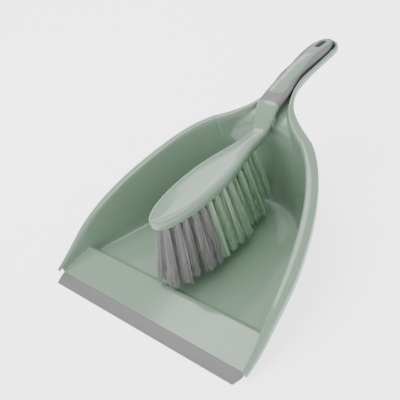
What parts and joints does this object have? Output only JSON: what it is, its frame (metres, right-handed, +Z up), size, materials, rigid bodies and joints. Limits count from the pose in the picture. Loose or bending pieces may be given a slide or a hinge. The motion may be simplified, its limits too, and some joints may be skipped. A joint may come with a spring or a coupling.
{
  "type": "dustpan and brush set",
  "caption": "Open dustpan with a rubber lip, a rolled rim and a hollow handle that cradles a hand brush with an oval head, a soft-grip handle and two colours of bristle tuft.",
  "frame": {"origin": "on the floor, under the middle of the whole set's box", "axes": "+Z up; the pan's mouth and rubber lip face -Y, its handle points to +Y, and the set is symmetric about X = 0"},
  "size_m": [0.2426, 0.331, 0.1176],
  "materials": {
    "pan_plastic": "glossy moulded polypropylene, sage green",
    "brush_plastic": "glossy moulded polypropylene, sage green",
    "lip_rubber": "satin thermoplastic rubber, mid grey",
    "grip_rubber": "soft satin thermoplastic rubber, warm grey",
    "bristle_green": "satin synthetic bristle, mint green",
    "bristle_grey": "satin synthetic bristle, grey",
    "anchor_steel": "plain flat staple wire"
  },
  "bodies": {
    "pan": {"pan_body": "pan_plastic", "rubber_lip": "lip_rubber"},
    "brush": {"brush_body": "brush_plastic", "handle_grip": "grip_rubber", "tuft_anchors": "anchor_steel", "tuft_green_06_a": "bristle_green", "tuft_green_06_b": "bristle_green", "tuft_green_06_c": "bristle_green", "tuft_green_06_d": "bristle_green", "tuft_green_07_a": "bristle_green", "tuft_green_07_b": "bristle_green", "tuft_green_07_c": "bristle_green", "tuft_green_07_d": "bristle_green", "tuft_green_08_a": "bristle_green", "tuft_green_08_b": "bristle_green", "tuft_green_08_c": "bristle_green", "tuft_green_08_d": "bristle_green", "tuft_green_09_a": "bristle_green", "tuft_green_09_b": "bristle_green", "tuft_green_09_c": "bristle_green", "tuft_green_09_d": "bristle_green", "tuft_green_10_a": "bristle_green", "tuft_green_10_b": "bristle_green", "tuft_green_10_c": "bristle_green", "tuft_green_11_a": "bristle_green", "tuft_green_11_b": "bristle_green", "tuft_green_11_c": "bristle_green", "tuft_green_12_a": "bristle_green", "tuft_green_12_b": "bristle_green", "tuft_green_12_c": "bristle_green", "tuft_green_13_a": "bristle_green", "tuft_green_13_b": "bristle_green", "tuft_green_14_a": "bristle_green", "tuft_green_14_b": "bristle_green", "tuft_grey_01_a": "bristle_grey", "tuft_grey_01_b": "bristle_grey", "tuft_grey_02_a": "bristle_grey", "tuft_grey_02_b": "bristle_grey", "tuft_grey_02_c": "bristle_grey", "tuft_grey_03_a": "bristle_grey", "tuft_grey_03_b": "bristle_grey", "tuft_grey_03_c": "bristle_grey", "tuft_grey_04_a": "bristle_grey", "tuft_grey_04_b": "bristle_grey", "tuft_grey_04_c": "bristle_grey", "tuft_grey_04_d": "bristle_grey", "tuft_grey_05_a": "bristle_grey", "tuft_grey_05_b": "bristle_grey", "tuft_grey_05_c": "bristle_grey", "tuft_grey_05_d": "bristle_grey"}
  },
  "joints": [
    {"name": "brush_lift", "type": "slide", "parent": "pan", "child": "brush", "axis": [0, 0, 1], "range_m": [0, 0.14]}
  ]
}
